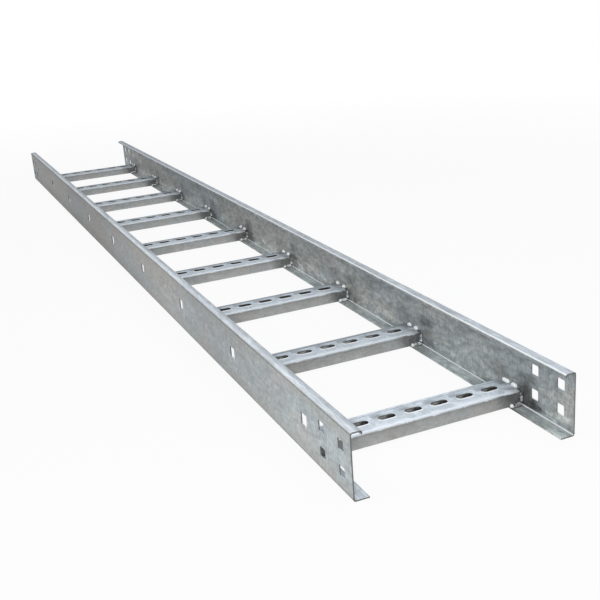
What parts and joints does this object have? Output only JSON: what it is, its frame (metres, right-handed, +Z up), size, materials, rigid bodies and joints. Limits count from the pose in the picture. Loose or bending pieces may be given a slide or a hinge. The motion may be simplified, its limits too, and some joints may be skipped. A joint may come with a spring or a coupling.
{
  "type": "cable ladder section",
  "caption": "Galvanised steel cable ladder section: two folded lipped side rails joined by welded slotted strut rungs, with punched splice holes at the rail ends.",
  "frame": {"origin": "centre of the underside of the ladder, on the surface that the bottom flanges rest on", "axes": "+Y along the rails, +X across the ladder towards the rail without mid-height openings, +Z up"},
  "size_m": [0.354, 2.7, 0.1],
  "materials": {
    "rail_zinc": "hot-dip galvanised, cloudy satin grey",
    "rung_zinc": "hot-dip galvanised, cloudy satin grey",
    "weld_zinc": "hot-dip galvanised weld bead"
  },
  "bodies": {
    "root": {"rail_left": "rail_zinc", "rail_right": "rail_zinc", "rung_1": "rung_zinc", "rung_2": "rung_zinc", "rung_3": "rung_zinc", "rung_4": "rung_zinc", "rung_5": "rung_zinc", "rung_6": "rung_zinc", "rung_7": "rung_zinc", "rung_8": "rung_zinc", "rung_9": "rung_zinc", "weld_left_1": "weld_zinc", "weld_left_2": "weld_zinc", "weld_left_3": "weld_zinc", "weld_left_4": "weld_zinc", "weld_left_5": "weld_zinc", "weld_left_6": "weld_zinc", "weld_left_7": "weld_zinc", "weld_left_8": "weld_zinc", "weld_left_9": "weld_zinc", "weld_right_1": "weld_zinc", "weld_right_2": "weld_zinc", "weld_right_3": "weld_zinc", "weld_right_4": "weld_zinc", "weld_right_5": "weld_zinc", "weld_right_6": "weld_zinc", "weld_right_7": "weld_zinc", "weld_right_8": "weld_zinc", "weld_right_9": "weld_zinc"}
  },
  "joints": []
}
